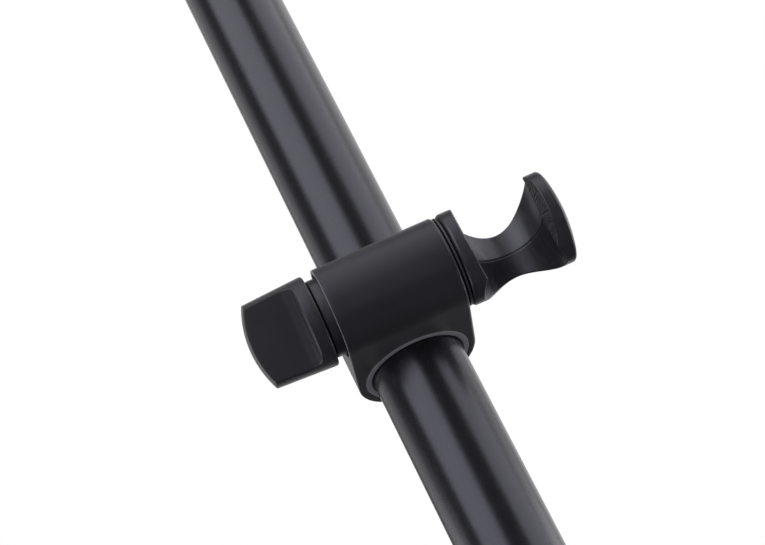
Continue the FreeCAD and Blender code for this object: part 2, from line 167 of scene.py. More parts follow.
class KnobSizes(bpy.types.PropertyGroup):
    base: millimetres("Base diameter", "Across the ring next to the body", 24.4)
    taper: degrees("Taper", "Taper of the round sides", 3.0)
    dome: millimetres("Dome", "Radius of the domed end", 27.0)
    blade: millimetres("Blade", "Between the two flats", 10.5)
    ring: millimetres("Ring", "Length of the full round ring", 3.7)
    hollow: millimetres("Hollow", "Radius of the hollow between flat and ring", 3.2)
    rim: millimetres("Rim", "Rounding of the edges of the domed end", 0.45)
    side: millimetres("Side edge", "Rounding between a flat and the round side", 0.5)
    step: millimetres("Step edge", "Rounding of the step above the hollow", 0.45)
    back: millimetres("Back edge", "Rounding of the edge next to the body", 0.7)
    turn: degrees("Turn", "How far the flats lean at rest", 25.5)


class CradleSizes(bpy.types.PropertyGroup):
    diameter: millimetres("Diameter", "Across the round bar", 25.0)
    flange_at: millimetres("Flange", "Left face of the bar, right of the slider's middle", 17.9)
    rim: millimetres("Rim", "Rounding of both ends of the bar", 0.9)
    dome: millimetres("Dome", "Radius of the domed right end", 40.0)
    wall: millimetres("Wall", "Left face to the narrowest place of the cup", 3.65)
    throat: millimetres("Throat", "Diameter of the cup's narrowest place", 21.2)
    forward: millimetres("Forward", "Centre of the throat in front of the swivel axis", 1.5)
    top: millimetres("Top", "Diameter of the cup above its lead", 22.9)
    lead: millimetres("Lead", "Height over which the cup opens to that", 8.0)
    foot: millimetres("Foot", "Diameter of the cup at its lower face", 22.8)
    foot_back: millimetres("Foot back", "Centre of that, behind the centre of the throat", 2.3)
    mouth: millimetres("Mouth", "Width of the mouth where it meets the cup", 19.6)
    mouth_depth: millimetres("Mouth depth", "That place, in front of the swivel axis", 6.0)
    mouth_lead: degrees("Mouth lead", "How far each side face opens outwards", 11.0)
    corner: millimetres("Corner", "Rounding between the cup and a side face", 0.5)
    edge: millimetres("Edge", "Rounding of the edge round the cup and mouth", 0.3)
    line: millimetres("Parting line", "Depth of the parting line at the throat", 0.2)
    hub: millimetres("Hub", "Diameter of the hub", 18.7)
    groove: millimetres("Groove", "Depth of the seal's groove in the hub", 1.5)


class Colours(bpy.types.PropertyGroup):
    coat: colour("Powder coat", "Matt coat of the slider and the knob", "#17171a")
    coat_pale: colour("Powder coat, pale", "The same coat where it is thin", "#1c1c20")
    tube: colour("Tube", "Satin coat of the tube", "#131316")
    tube_pale: colour("Tube, pale", "The same coat along the draw lines", "#19191d")
    nylon: colour("Nylon", "Moulded cradle", "#1b1b1e")
    nylon_pale: colour("Nylon, pale", "Flow marks in the moulding", "#26262a")
    liner: colour("Liner", "Acetal glide rings", "#7a7a82")


SIZES = (TubeSizes, BodySizes, KnobSizes, CradleSizes, Colours)


def sizes(group):
    """The length and angle values of a group, lengths in millimetres, angles in radians."""
    values = {}
    for name, made in group.bl_rna.properties.items():
        if made.type in ("FLOAT", "INT") and not getattr(made, "is_array", False):
            value = getattr(group, name)
            values[name] = value / MM if made.unit == "LENGTH" else value
    return values


# ---------------------------------------------------------------- surfaces
def rounded(outline, steps=6):
    """A chain of (along, out, radius) corners with an arc in each: the arc touches both sides, and its
    centre is radius / sin(half the corner's angle) from the corner, on the line that halves it."""
    places = np.array([corner[:2] for corner in outline], float)
    parts = []
    for k, (_, _, radius) in enumerate(outline):
        if radius == 0 or k in (0, len(outline) - 1):
            parts.append(places[k:k + 1])
            continue
        back, ahead = places[k - 1] - places[k], places[k + 1] - places[k]
        back, ahead = back / np.linalg.norm(back), ahead / np.linalg.norm(ahead)
        half = math.acos(float(back @ ahead)) / 2
        middle = (back + ahead) / np.linalg.norm(back + ahead)
        centre = places[k] + middle * radius / math.sin(half)
        first, last = places[k] + back * radius / math.tan(half), places[k] + ahead * radius / math.tan(half)
        parts.append(centre + turned(first - centre, last - centre, steps))
    return np.vstack(parts)


def turned(first, last, steps):
    """Vectors from first to last at even angles, weights sin((1 - t) w) and sin(t w) over sin(w)."""
    first, last = np.asarray(first, float), np.asarray(last, float)
    size = np.linalg.norm(first, axis=-1) * np.linalg.norm(last, axis=-1)
    angle = np.arccos(np.clip((first * last).sum(-1) / size, -1, 1))[..., None]
    t = np.linspace(0, 1, steps + 1).reshape((-1,) + (1,) * first.ndim)
    angle = np.maximum(angle, 1e-6)
    return (first * np.sin((1 - t) * angle) + last * np.sin(t * angle)) / np.sin(angle)


def arc(centre, radius, start, end, steps):
    """Points at centre + radius (cos, sin) of even angles, in radians."""
    angle = np.linspace(start, end, steps + 1)
    return np.stack([centre[0] + radius * np.cos(angle), centre[1] + radius * np.sin(angle)], -1)


def circle(steps):
    """Even angles once round, the last on the same place as the first."""
    return np.linspace(0, 2 * math.pi, steps + 1)


def lathe(profile, centre, axis, angles):
    """Profile of (along, out) carried round an axis: out times the cosine and sine of each angle."""
    along = "XYZ".index(axis)
    grid = np.empty((len(profile), len(angles), 3))
    grid[..., along] = profile[:, :1]
    grid[..., (along + 1) % 3] = profile[:, 1:] * np.cos(angles)
    grid[..., (along + 2) % 3] = profile[:, 1:] * np.sin(angles)
    return grid + centre


def between(first, last, steps):
    """Straight rows from one line of points to another."""
    t = np.linspace(0, 1, steps + 1).reshape(-1, 1, 1)
    return first * (1 - t) + last * t


def build(name, grids, body, nodes, crease=32):
    """A piece from grids of points in millimetres, each with its material: neighbours in a grid make a
    face, points of different grids that coincide become one, and the faces are turned outwards."""
    points, faces, kinds, materials, start = [], [], [], [], 0
    for grid, material in grids:
        rows, columns = grid.shape[:2]
        index = np.arange(rows * columns).reshape(rows, columns) + start
        quads = np.stack([index[:-1, :-1], index[1:, :-1], index[1:, 1:], index[:-1, 1:]], -1).reshape(-1, 4)
        if material not in materials:
            materials.append(material)
        points.append(grid.reshape(-1, 3) * MM)
        faces.append(quads)
        kinds.append(np.full(len(quads), materials.index(material)))
        start += rows * columns
    mesh = bpy.data.meshes.new(name)
    mesh.from_pydata(np.vstack(points), [], np.vstack(faces).tolist())
    mesh.polygons.foreach_set("material_index", np.concatenate(kinds).astype(np.int32))
    shape = bmesh.new()
    shape.from_mesh(mesh)
    bmesh.ops.remove_doubles(shape, verts=shape.verts, dist=WELD)
    bmesh.ops.dissolve_degenerate(shape, edges=shape.edges, dist=WELD)
    bmesh.ops.recalc_face_normals(shape, faces=shape.faces)
    open_edges = sum(1 for edge in shape.edges if len(edge.link_faces) != 2)
    shape.to_mesh(mesh)
    shape.free()
    if open_edges:
        raise RuntimeError(f"{name} isn't closed: {open_edges} open edges")
    for material in materials:
        mesh.materials.append(material)
    mesh.shade_smooth()
    mesh.set_sharp_from_angle(angle=math.radians(crease))
    piece = bpy.data.objects.new(name, mesh)
    bpy.context.scene.collection.objects.link(piece)
    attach(piece, body)
    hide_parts(*nodes)
    return piece


# ---------------------------------------------------------------- finishes
def add(tree, kind, inputs=None, **settings):
    """Adds a node. Settings are its own properties, and inputs gives sockets a value or a link."""
    made = tree.nodes.new(kind)
    for name, value in settings.items():
        setattr(made, name, value)
    for socket, value in (inputs or {}).items():
        if isinstance(value, bpy.types.NodeSocket):
            tree.links.new(value, made.inputs[socket])
        else:
            made.inputs[socket].default_value = value
    return made


def per_metre(pattern_mm):
    """Texture scale that repeats once in that many millimetres."""
    return 1 / (pattern_mm * MM)


SHEEN = "#edecff"           # the cool cast that all the black finishes have where they shine


def surface(name, roughness, metallic=0.0, ior=None, sheen=0.0):
    """A material with one principled shader, and the object's own coordinates to draw patterns with."""
    material = bpy.data.materials.new(name)
    material.use_nodes = True
    tree = material.node_tree
    tree.nodes.clear()
    shader = add(tree, "ShaderNodeBsdfPrincipled", {"Roughness": roughness, "Metallic": metallic})
    if metallic == 0:
        shader.inputs["Specular Tint"].default_value = linear(SHEEN)
    if ior:
        shader.inputs["IOR"].default_value = ior
    if sheen:
        shader.inputs["Sheen Weight"].default_value = sheen
        shader.inputs["Sheen Roughness"].default_value = 0.4
    add(tree, "ShaderNodeOutputMaterial", {"Surface": shader.outputs["BSDF"]})
    place = add(tree, "ShaderNodeTexCoord").outputs["Object"]
    return material, tree, shader, place


def mixed(tree, factor, first, second):
    """Colour between two, by a factor from a texture."""
    return add(tree, "ShaderNodeMix", {0: factor, 6: first, 7: second}, data_type="RGBA").outputs[2]


def wire(tree, shader, colours=None, rough=None, normal=None):
    """Links a finish's patterns to its shader."""
    for socket, value in (("Base Color", colours), ("Roughness", rough), ("Normal", normal)):
        if value is not None:
            tree.links.new(value, shader.inputs[socket])


def powder_coat(colours, name, roughness):
    """Polyester powder coat, matt, baked on a zinc casting. The eye gets a dead even black that goes
    grey where light grazes it, and a very fine grain with a soft orange peel under it."""
    material, tree, shader, place = surface(name, roughness, ior=1.5, sheen=0.12)
    grain = add(tree, "ShaderNodeTexNoise", {"Vector": place, "Scale": per_metre(0.35), "Detail": 3.0,
                                             "Roughness": 0.6})
    peel = add(tree, "ShaderNodeTexNoise", {"Vector": place, "Scale": per_metre(2.6), "Detail": 2.0})
    cloud = add(tree, "ShaderNodeTexNoise", {"Vector": place, "Scale": per_metre(9), "Detail": 3.0})
    shade = add(tree, "ShaderNodeMapRange", {"Value": cloud.outputs["Fac"], "From Min": 0.3, "From Max": 0.7})
    rough = add(tree, "ShaderNodeMapRange", {"Value": grain.outputs["Fac"], "From Min": 0.3, "From Max": 0.7,
                                             "To Min": roughness - 0.05, "To Max": roughness + 0.05})
    coarse = add(tree, "ShaderNodeBump", {"Height": peel.outputs["Fac"], "Strength": 0.12,
                                          "Distance": 0.05 * MM})
    fine = add(tree, "ShaderNodeBump", {"Height": grain.outputs["Fac"], "Strength": 0.25,
                                        "Distance": 0.02 * MM, "Normal": coarse.outputs["Normal"]})
    wire(tree, shader, mixed(tree, shade.outputs["Result"], colours.coat, colours.coat_pale),
         rough.outputs["Result"], fine.outputs["Normal"])
    return material


def satin_coat(colours):
    """Satin black coat on drawn tube. The eye gets long soft streaks of light, slightly uneven along
    the draw lines of the tube, and a mottle that breaks up their edges."""
    material, tree, shader, place = surface("satin_coated_tube", 0.27, ior=1.5)
    stretch = add(tree, "ShaderNodeMapping", {"Vector": place, "Scale": (1.0, 1.0, 0.006)})
    lines = add(tree, "ShaderNodeTexNoise", {"Vector": stretch.outputs["Vector"], "Scale": per_metre(3),
                                             "Detail": 2.0, "Roughness": 0.5})
    mottle = add(tree, "ShaderNodeTexNoise", {"Vector": place, "Scale": per_metre(5), "Detail": 4.0,
                                              "Roughness": 0.55})
    grain = add(tree, "ShaderNodeTexNoise", {"Vector": place, "Scale": per_metre(0.4), "Detail": 2.0})
    uneven = add(tree, "ShaderNodeMath", {0: lines.outputs["Fac"], 1: mottle.outputs["Fac"]},
                 operation="ADD")
    rough = add(tree, "ShaderNodeMapRange", {"Value": uneven.outputs["Value"], "From Min": 0.7,
                                             "From Max": 1.3, "To Min": 0.25, "To Max": 0.29})
    wave = add(tree, "ShaderNodeBump", {"Height": lines.outputs["Fac"], "Strength": 0.02,
                                        "Distance": 0.01 * MM})
    fine = add(tree, "ShaderNodeBump", {"Height": grain.outputs["Fac"], "Strength": 0.03,
                                        "Distance": 0.006 * MM, "Normal": wave.outputs["Normal"]})
    wire(tree, shader, mixed(tree, lines.outputs["Fac"], colours.tube, colours.tube_pale),
         rough.outputs["Result"], fine.outputs["Normal"])
    return material


def moulded_nylon(colours):
    """Glass-filled nylon, injection moulded. The eye gets a soft gloss with faint flow marks that run
    up the cup, and small pits from the mould."""
    material, tree, shader, place = surface("moulded_nylon", 0.4, ior=1.53)
    stretch = add(tree, "ShaderNodeMapping", {"Vector": place, "Scale": (1.0, 1.0, 0.16)})
    flow = add(tree, "ShaderNodeTexNoise", {"Vector": stretch.outputs["Vector"], "Scale": per_metre(1.6),
                                            "Detail": 4.0, "Distortion": 0.4})
    pits = add(tree, "ShaderNodeTexNoise", {"Vector": place, "Scale": per_metre(0.5), "Detail": 3.0})
    rough = add(tree, "ShaderNodeMapRange", {"Value": flow.outputs["Fac"], "From Min": 0.3, "From Max": 0.7,
                                             "To Min": 0.34, "To Max": 0.46})
    wavy = add(tree, "ShaderNodeBump", {"Height": flow.outputs["Fac"], "Strength": 0.6, "Distance": 0.1 * MM})
    fine = add(tree, "ShaderNodeBump", {"Height": pits.outputs["Fac"], "Strength": 0.5,
                                        "Distance": 0.04 * MM, "Normal": wavy.outputs["Normal"]})
    wire(tree, shader, mixed(tree, flow.outputs["Fac"], colours.nylon, colours.nylon_pale),
         rough.outputs["Result"], fine.outputs["Normal"])
    return material


def trimmed_nylon(colours):
    """The same nylon where the mouth was trimmed after moulding. The eye gets a dull face with
    crossing tool marks and torn grain."""
    material, tree, shader, place = surface("trimmed_nylon", 0.55, ior=1.53)
    tilt = add(tree, "ShaderNodeMapping", {"Vector": place, "Rotation": (math.radians(35), 0.0, 0.0),
                                           "Scale": (1.0, 0.2, 1.0)})
    marks = add(tree, "ShaderNodeTexNoise", {"Vector": tilt.outputs["Vector"], "Scale": per_metre(0.9),
                                             "Detail": 3.0, "Roughness": 0.65})
    torn = add(tree, "ShaderNodeTexVoronoi", {"Vector": tilt.outputs["Vector"], "Scale": per_metre(2.4)},
               feature="DISTANCE_TO_EDGE")
    rough = add(tree, "ShaderNodeMapRange", {"Value": marks.outputs["Fac"], "To Min": 0.42, "To Max": 0.68})
    cut = add(tree, "ShaderNodeMapRange", {"Value": torn.outputs["Distance"], "From Min": 0.0,
                                           "From Max": 0.08})
    deep = add(tree, "ShaderNodeBump", {"Height": cut.outputs["Result"], "Strength": 0.8,
                                        "Distance": 0.2 * MM})
    fine = add(tree, "ShaderNodeBump", {"Height": marks.outputs["Fac"], "Strength": 0.9,
                                        "Distance": 0.2 * MM, "Normal": deep.outputs["Normal"]})
    wire(tree, shader, mixed(tree, marks.outputs["Fac"], colours.nylon, colours.nylon_pale),
         rough.outputs["Result"], fine.outputs["Normal"])
    return material


def acetal(colours):
    """Acetal, turned and left in its own grey. The eye gets a waxy face with fine turning rings."""
    material, tree, shader, place = surface("acetal_liner", 0.42, ior=1.48)
    rings = add(tree, "ShaderNodeTexWave", {"Vector": place, "Scale": per_metre(2.5), "Distortion": 0.6},
                wave_type="BANDS", bands_direction="Z")
    cloud = add(tree, "ShaderNodeTexNoise", {"Vector": place, "Scale": per_metre(3), "Detail": 3.0})
    pale = tuple(min(1.0, part * 1.25) for part in colours.liner[:3]) + (1.0,)
    low = add(tree, "ShaderNodeBump", {"Height": rings.outputs["Fac"], "Strength": 0.15,
                                       "Distance": 0.02 * MM})
    wire(tree, shader, mixed(tree, cloud.outputs["Fac"], colours.liner, pale), None, low.outputs["Normal"])
    return material


def plated_steel():
    """Steel, turned or pressed, zinc plated. The eye gets a cool grey metal with fine lines and
    dull patches where the plating is thick."""
    material, tree, shader, place = surface("zinc_plated_steel", 0.38, metallic=1.0)
    stretch = add(tree, "ShaderNodeMapping", {"Vector": place, "Scale": (0.1, 1.0, 1.0)})
    lines = add(tree, "ShaderNodeTexNoise", {"Vector": stretch.outputs["Vector"], "Scale": per_metre(0.5),
                                             "Detail": 3.0})
    patch = add(tree, "ShaderNodeTexNoise", {"Vector": place, "Scale": per_metre(4), "Detail": 3.0})
    rough = add(tree, "ShaderNodeMapRange", {"Value": patch.outputs["Fac"], "To Min": 0.26, "To Max": 0.48})
    low = add(tree, "ShaderNodeBump", {"Height": lines.outputs["Fac"], "Strength": 0.3,
                                       "Distance": 0.02 * MM})
    wire(tree, shader, mixed(tree, patch.outputs["Fac"], linear("#a4a7ab"), linear("#c3c6c8")),
         rough.outputs["Result"], low.outputs["Normal"])
    return material


def turned_brass():
    """Free-cutting brass from a lathe. The eye gets a warm metal with close tool rings."""
    material, tree, shader, place = surface("turned_brass", 0.3, metallic=1.0)
    rings = add(tree, "ShaderNodeTexWave", {"Vector": place, "Scale": per_metre(3), "Distortion": 0.3},
                wave_type="BANDS", bands_direction="X")
    tarnish = add(tree, "ShaderNodeTexNoise", {"Vector": place, "Scale": per_metre(4), "Detail": 3.0})
    low = add(tree, "ShaderNodeBump", {"Height": rings.outputs["Fac"], "Strength": 0.2,
                                       "Distance": 0.02 * MM})
    wire(tree, shader, mixed(tree, tarnish.outputs["Fac"], linear("#b8923f"), linear("#d9bd76")),
         None, low.outputs["Normal"])
    return material


def grained(name, first, second, roughness, grain_mm, depth_mm):
    """A dull moulded or ground surface: two close colours and one bump from the same grain."""
    material, tree, shader, place = surface(name, roughness, ior=1.5)
    grain = add(tree, "ShaderNodeTexNoise", {"Vector": place, "Scale": per_metre(grain_mm), "Detail": 4.0,
                                             "Roughness": 0.65})
    rough = add(tree, "ShaderNodeMapRange", {"Value": grain.outputs["Fac"], "To Min": roughness - 0.08,
                                             "To Max": roughness + 0.08})
    low = add(tree, "ShaderNodeBump", {"Height": grain.outputs["Fac"], "Strength": 0.5,
                                       "Distance": depth_mm * MM})
    wire(tree, shader, mixed(tree, grain.outputs["Fac"], linear(first), linear(second)),
         rough.outputs["Result"], low.outputs["Normal"])
    return material


FINISHES = {}               # slot to material


def finish_for(slot):
    """The material of a slot, made when it is first asked for."""
    colours = bpy.context.scene.slide_rail_colours
    makers = {
        "black_tube": lambda: satin_coat(colours),
        "black_casting": lambda: powder_coat(colours, "matt_powder_coat", 0.43),
        "knob_casting": lambda: powder_coat(colours, "handled_powder_coat", 0.45),
        "black_moulding": lambda: moulded_nylon(colours),
        "trimmed_moulding": lambda: trimmed_nylon(colours),
        "grey_liner": lambda: acetal(colours),
        "steel": plated_steel,
        "brass": turned_brass,
        # The same powder coat on the sharp rim by the knob: painted paler as a painted highlight along that
        # rim, and a little smoother.
        "casting_edge": lambda: grained("thin_powder_coat", "#55555c", "#68686f", 0.34, 0.8, 0.01),
        # Nitrile rubber, moulded: a dull black that hardly shines.
        "rubber": lambda: grained("nitrile_rubber", "#141415", "#1f1f21", 0.7, 0.6, 0.02),
        # Friction rubber, ground to fit: dark brown with grit that shows.
        "pad": lambda: grained("friction_rubber", "#2a2422", "#3d3530", 0.85, 0.45, 0.06),
        # Glass-filled slip sheet, stamped: even dark grey, a little waxy.
        "slip_washer": lambda: grained("stamped_slip_sheet", "#2c2c2f", "#363639", 0.45, 1.2, 0.01),
    }
    if slot not in FINISHES:
        FINISHES[slot] = makers[slot]()
    return FINISHES[slot]


# ---------------------------------------------------------------- operators
class MakeTube(bpy.types.Operator):
    """Tube: a ring-shaped profile carried along its own axis, with both ends rounded"""
    bl_idname = "slide_rail.tube"
    bl_label = "Tube"

    def execute(self, context):
        s = sizes(context.scene.slide_rail_tube)
        inner, low, high = RAIL_R - s["wall"], RAIL_LOW[2], RAIL_HIGH[2]
        middle = (low + high) / 2
        profile = rounded([(middle, RAIL_R, 0), (high, RAIL_R, s["edge"]), (high, inner, s["edge"]),
                           (low, inner, s["edge"]), (low, RAIL_R, s["edge"]), (middle, RAIL_R, 0)])
        axis = RAIL_AT * (1, 1, 0)
        grid = lathe(profile, axis, "Z", circle(s["turns"]))
        build("drawn_tube", [(grid, finish_for("black_tube"))], "rail", ["rail_tube"])
        return {"FINISHED"}


class MakeCaps(bpy.types.Operator):
    """End caps: a domed disc with a rounded rim, on a plug with a groove for its rubber ring"""
    bl_idname = "slide_rail.end_caps"
    bl_label = "End caps"

    def execute(self, context):
        s = sizes(context.scene.slide_rail_tube)
        for side, up in (("lower", -1), ("upper", 1)):
            low, high = corners(f"{side}_end_cap")
            ring_low, ring_high = corners(f"{side}_cap_ring")
            outer, inner = (high[2], low[2]) if up > 0 else (low[2], high[2])
            seam = RAIL_HIGH[2] if up > 0 else RAIL_LOW[2]
            plug = RAIL_R - s["wall"] - PLUG_GAP
            groove_r = (ring_high[0] - ring_low[0]) / 2 - (ring_high[2] - ring_low[2]) - GROOVE_SLACK
            near, far = (ring_low[2], ring_high[2]) if up > 0 else (ring_high[2], ring_low[2])
            near, far = near - up * GROOVE_SLACK, far + up * GROOVE_SLACK
            crown, rim = s["cap_dome"], s["cap_edge"]
            stem = rounded([(inner, 0, 0), (inner, plug, CAP_NOSE), (near, plug, CRISP),
                            (near, groove_r, CRISP), (far, groove_r, CRISP), (far, plug, CRISP),
                            (seam, plug, 0), (seam, RAIL_R, 0)], 3)
            bend = math.asin((RAIL_R - rim) / (crown - rim))
            centre = outer - up * crown
            turn = arc((centre + up * (crown - rim) * math.cos(bend), RAIL_R - rim), rim,
                       math.pi / 2, math.pi / 2 - up * (math.pi / 2 - bend), 6)
            slope = np.linspace(bend, 0, CAP_STEPS + 1)
            dome = np.stack([centre + up * crown * np.cos(slope), crown * np.sin(slope)], -1)
            profile = np.vstack([stem, turn, dome])
            grid = lathe(profile, RAIL_AT * (1, 1, 0), "Z", circle(s["turns"]))
            build(f"{side}_domed_cap", [(grid, finish_for("black_tube"))], "rail",
                  [f"{side}_end_cap"])
        return {"FINISHED"}


class MakeGlideRings(bpy.types.Operator):
    """Glide rings: a short sleeve with a lead-in cone at its outer mouth"""
    bl_idname = "slide_rail.glide_rings"
    bl_label = "Glide rings"

    def execute(self, context):
        s = sizes(context.scene.slide_rail_tube)
        body = sizes(context.scene.slide_rail_body)
        inner = RAIL_R + s["ring_fit"]
        outer = BODY_HALF - body["sleeve"] - body["seat_gap"]
        lead, edge = s["ring_lead"], s["ring_edge"]
        for side, up in (("lower", -1), ("upper", 1)):
            low, high = corners(f"{side}_glide_ring")
            mouth, root = (high[2], low[2]) if up > 0 else (low[2], high[2])
            middle = (mouth + root) / 2
            profile = rounded([(middle, outer, 0), (mouth, outer, edge), (mouth, inner + lead, edge),
                               (mouth - up * lead, inner, edge), (root, inner, edge), (root, outer, edge),
                               (middle, outer, 0)], 4)
            grid = lathe(profile, RAIL_AT * (1, 1, 0), "Z", circle(s["turns"]))
            build(f"{side}_slide_liner", [(grid, finish_for("grey_liner"))], "glide",
                  [f"{side}_glide_ring"])
        return {"FINISHED"}


class MakeBody(bpy.types.Operator):
    """Slider body: skin over the barrel and block, flat sides, round back, and one rounded edge
    between them, all pierced by the bores"""
    bl_idname = "slide_rail.body"
    bl_label = "Slider body"

    def execute(self, context):
        s = sizes(context.scene.slide_rail_body)
        highlight_rim, *grids = body_outside(s)
        # The rounding on the knob's side gets the paler coat: a painted highlight along that rim.
        pieces = [(highlight_rim, finish_for("casting_edge"))]
        pieces += [(grid, finish_for("black_casting")) for grid in grids]
        build("slider_casting", pieces, "slider", ["slider_body"])
        return {"FINISHED"}


def body_outside(s):
    """The edge runs once round the body. At each of its points the skin's normal and the wall's
    normal are square to each other, so the rounding is centre + r (cos a skin + sin a wall), with
    the centre r inside both. Skin and walls end on the two sides of that rounding."""
    half, radius, arm = BODY_HALF, BARREL_R, ARM
    across = np.linspace(0, 1, ACROSS + 1)
    straight = np.linspace(0, arm, STRAIGHT + 1)
    front = np.linspace(math.pi / 2, -math.pi / 2, FRONT + 1)
    back = np.linspace(0, math.pi, BACK + 1)

    def stretch(points, skin, wall, edge):
        return [np.broadcast_to(np.stack(np.broadcast_arrays(*part), -1).astype(float), (len(edge), 3))
                for part in (points, skin, wall)] + [edge]

    blend = (1 - np.cos(back)) / 2
    back_edge = s["right_edge"] * (1 - blend) + s["left_edge"] * blend
    right_edge, left_edge = np.full(len(straight), s["right_edge"]), np.full(len(straight), s["left_edge"])
    top_right = stretch((half, straight, radius), (0, 0, 1), (1, 0, 0), right_edge)
    top_back = stretch((half * np.cos(back), arm + half * np.sin(back), radius), (0, 0, 1),
                       (np.cos(back), np.sin(back), 0 * back), back_edge)
    top_left = stretch((-half, straight[::-1], radius), (0, 0, 1), (-1, 0, 0), left_edge)
    left_front = stretch((-half, -radius * np.cos(front), radius * np.sin(front)),
                         (0 * front, -np.cos(front), np.sin(front)), (-1, 0, 0),
                         np.full(len(front), s["left_edge"]))
    right_front = stretch((half, -radius * np.cos(front), radius * np.sin(front)),
                          (0 * front, -np.cos(front), np.sin(front)), (1, 0, 0),
                          np.full(len(front), s["right_edge"]))
    flip = np.array([1, 1, -1])

    def under(part):
        return [part[0][::-1] * flip, part[1][::-1] * flip, part[2][::-1] * flip, part[3][::-1]]

    def backwards(part):
        return [side[::-1] for side in part]

    order = [top_right, top_back, top_left, left_front, under(top_left), under(top_back), under(top_right),
             backwards(right_front)]
    point, skin, wall = (np.vstack([part[k] for part in order]) for k in range(3))
    edge = np.concatenate([part[3] for part in order])[:, None]
    centre = point - edge * (skin + wall)
    rounding = centre + edge * turned(skin, wall, 6)

    def skin_line(part):
        return part[0] - part[3][:, None] * part[2]

    def wall_line(part):
        return part[0] - part[3][:, None] * part[1]

    columns = -(half - s["left_edge"]) + across * (2 * half - s["left_edge"] - s["right_edge"])
    bow = np.stack(np.broadcast_arrays(columns, -radius * np.cos(front)[:, None],
                                       radius * np.sin(front)[:, None]), -1)
    sides = np.linspace(1, -1, ACROSS + 1)[:, None]
    drum = np.stack(np.broadcast_arrays(half * np.cos(back), arm + half * np.sin(back),
                                        (radius - back_edge) * sides), -1)

    outline = np.vstack([skin_line(top_right), skin_line(top_back), skin_line(top_left), bow[0]])
    outline = np.vstack([outline, outline[:1]])
    angles = np.unwrap(np.arctan2(outline[:, 1] - arm, outline[:, 0]))
    seat_r = half - s["sleeve"]
    mouth = s["mouth_edge"]
    seat_end = radius - RING_LENGTH - s["seat_gap"]
    bore_r = RAIL_R + s["rail_gap"]
    bore = rounded([(radius, seat_r + OVERLAP, 0), (radius, seat_r, mouth), (seat_end, seat_r, CRISP),
                    (seat_end, bore_r, CRISP), (-seat_end, bore_r, CRISP), (-seat_end, seat_r, CRISP),
                    (-radius, seat_r, mouth), (-radius, seat_r + OVERLAP, 0)], 4)[1:-1]
    rail_bore = lathe(bore, np.array([0, arm, 0]), "Z", angles)
    top = between(outline[None], rail_bore[:1], 5)
    bottom = between(outline[None] * flip, rail_bore[-1:], 5)

    def flank(along, bow_edge, x, profile):
        """Flat side between its outline and a bore, and the bore itself."""
        upright = np.stack(np.broadcast_arrays(x, arm, (radius - along[3][0]) * sides[:, 0]), -1)
        first = np.vstack([wall_line(along), upright, wall_line(under(along)),
                           wall_line(backwards(bow_edge))])
        turn = np.unwrap(np.arctan2(first[:, 2], first[:, 1]))
        hole = lathe(profile, np.zeros(3), "X", turn)
        return [between(first[None], hole[:1], 6), hole]

    left_floor = -half + s["neck_depth"]
    bores = ("neck_bore", "core_bore", "hub_bore", "axle_hole")
    neck_r, core_r, hub_r, axle_r = (s[bore_name] / 2 for bore_name in bores)
    left_profile = rounded([(-half, neck_r + OVERLAP, 0), (-half, neck_r, mouth),
                            (left_floor, neck_r, FLOOR_EDGE), (left_floor, core_r, SOFT),
                            (s["core_end"], core_r, SOFT), (s["core_end"], axle_r, 0)], 4)[1:]
    right_floor = half - s["hub_depth"]
    right_profile = rounded([(half, hub_r + OVERLAP, 0), (half, hub_r, mouth),
                             (right_floor, hub_r, SOFT), (right_floor, axle_r, 0)], 4)[1:]
    right_flank, hub_hole = flank(top_right, right_front, half, right_profile)
    left_flank, clamp_hole = flank(backwards(top_left), left_front, -half, left_profile)
    axle_hole = between(clamp_hole[-1:], hub_hole[-1:], 1)
    left_part = len(top_right[0]) + len(top_back[0]) // 2
    right_part = len(point) - len(top_right[0]) - len(top_back[0]) // 2 - len(right_front[0])
    # The rounding on the knob's side, from the middle of the round back round the front: it takes the paler
    # coat, a painted highlight along that rim.
    highlight_rim = rounding[:, left_part:right_part]
    even = [rounding[:, :left_part + 1], rounding[:, right_part - 1:]]
    grids = [highlight_rim, *even, bow, drum, top, bottom, rail_bore, right_flank, hub_hole, left_flank,
             clamp_hole, axle_hole]
    return [grid + BARREL_AT for grid in grids]


class MakeBush(bpy.types.Operator):
    """Neck bush: a round neck that stands out of the body behind the knob"""
    bl_idname = "slide_rail.bush"
    bl_label = "Neck bush"

    def execute(self, context):
        s = sizes(context.scene.slide_rail_body)
        neck_r = (BUSH_HIGH[2] - BUSH_LOW[2]) / 2
        floor_x = -BODY_HALF + s["neck_depth"]
        shank_r = s["core_bore"] / 2 - SHANK_GAP
        profile = rounded([(floor_x - NECK_SEAM, neck_r, 0), (BUSH_LOW[0], neck_r, NECK_RIM),
                           (BUSH_LOW[0], JOURNAL_R, SOFT), (BUSH_HIGH[0], JOURNAL_R, SOFT),
                           (BUSH_HIGH[0], shank_r, SOFT), (floor_x, shank_r, CRISP),
                           (floor_x, neck_r, SOFT), (floor_x - NECK_SEAM, neck_r, 0)], 4)
        grid = lathe(profile, BARREL_AT, "X", circle(context.scene.slide_rail_tube.turns))
        build("neck_bush", [(grid, finish_for("black_moulding"))], "slider",
              ["spindle_bush"])
        return {"FINISHED"}


class MakeKnob(bpy.types.Operator):
    """Knob: cross-sections of a circle cut by two flats, stacked along the axis"""
    bl_idname = "slide_rail.knob"
    bl_label = "Knob"

    def execute(self, context):
        s = sizes(context.scene.slide_rail_knob)
        section = knob_surface(s)
        along, flat_way, edge_way = section[..., 0], section[..., 1], section[..., 2]
        turn = s["turn"]
        grid = np.stack([along, flat_way * math.cos(turn) - edge_way * math.sin(turn),
                         flat_way * math.sin(turn) + edge_way * math.cos(turn)], -1) + BARREL_AT
        build("wing_knob", [(grid, finish_for("knob_casting"))], "knob", ["knob"])
        return {"FINISHED"}


